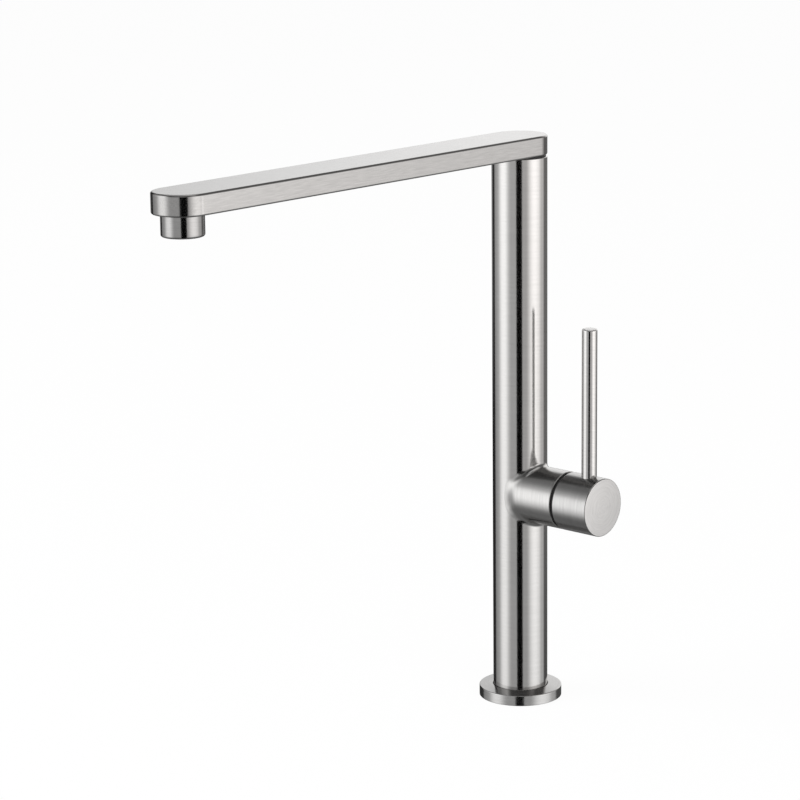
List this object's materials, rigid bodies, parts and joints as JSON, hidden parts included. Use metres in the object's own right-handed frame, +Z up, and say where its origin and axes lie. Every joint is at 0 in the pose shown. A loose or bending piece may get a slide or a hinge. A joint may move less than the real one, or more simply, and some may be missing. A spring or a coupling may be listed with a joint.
{
  "type": "kitchen faucet",
  "caption": "Brushed steel kitchen faucet: round column on a flange, flat swivel spout with an aerator, and a side valve stub whose cap turns with an upright pin lever.",
  "frame": {"origin": "centre of the base flange, on the plane of its underside where it stands on the deck", "axes": "+Z up along the column, -Y along the spout towards the user, +X along the valve stub towards the handle"},
  "size_m": [0.0864, 0.3059, 0.3346],
  "materials": {
    "brushed_steel": "fine brushed stainless steel, long grain along tubes and spout",
    "spun_steel": "brushed stainless steel with grain turned round its axis",
    "brass": "machined brass, not seen from outside",
    "spring_steel": "plain hardened steel",
    "dark_polymer": "matt black acetal",
    "pale_polymer": "natural acetal",
    "seal_rubber": "soft black seal rubber",
    "ceramic": "lapped white ceramic"
  },
  "bodies": {
    "base": {"base_flange": "spun_steel", "base_seal": "seal_rubber", "foot_insert": "brass", "column_tube": "brushed_steel", "valve_socket": "spun_steel", "valve_block": "brass", "hot_inlet_tube": "brass", "cold_inlet_tube": "brass", "riser_tube": "brass", "collar_base": "brass", "top_collar": "brass", "upper_bush": "pale_polymer", "lower_bush": "pale_polymer", "swivel_stop_pin": "spring_steel", "glide_ring": "dark_polymer", "cartridge_seal": "seal_rubber", "cartridge_base": "pale_polymer", "cartridge_body": "pale_polymer", "cartridge_nut": "brass", "fixed_disc": "ceramic", "handle_glide_ring": "dark_polymer"},
    "spout": {"spout_pivot": "brass", "upper_o_ring": "seal_rubber", "lower_o_ring": "seal_rubber", "retaining_clip": "spring_steel", "spout_shell": "brushed_steel", "spout_top_plate": "brushed_steel", "outlet_boss": "brass", "aerator_washer": "seal_rubber", "flow_screen": "spring_steel", "aerator_insert": "pale_polymer", "aerator_housing": "spun_steel"},
    "handle": {"moving_disc": "ceramic", "spindle": "brass", "spindle_o_ring": "seal_rubber", "spline_bush": "dark_polymer", "handle_cap": "spun_steel", "lever_pin": "brushed_steel", "handle_set_screw": "spring_steel"}
  },
  "joints": [
    {"name": "spout_swivel", "type": "hinge", "parent": "base", "child": "spout", "pos_m": [0, 0, 0.3231], "axis": [0, 0, 1], "range_deg": [-70, 70]},
    {"name": "lever_turn", "type": "hinge", "parent": "base", "child": "handle", "pos_m": [0.0377, 0, 0.1247], "axis": [1, 0, 0], "range_deg": [0, 90]}
  ]
}
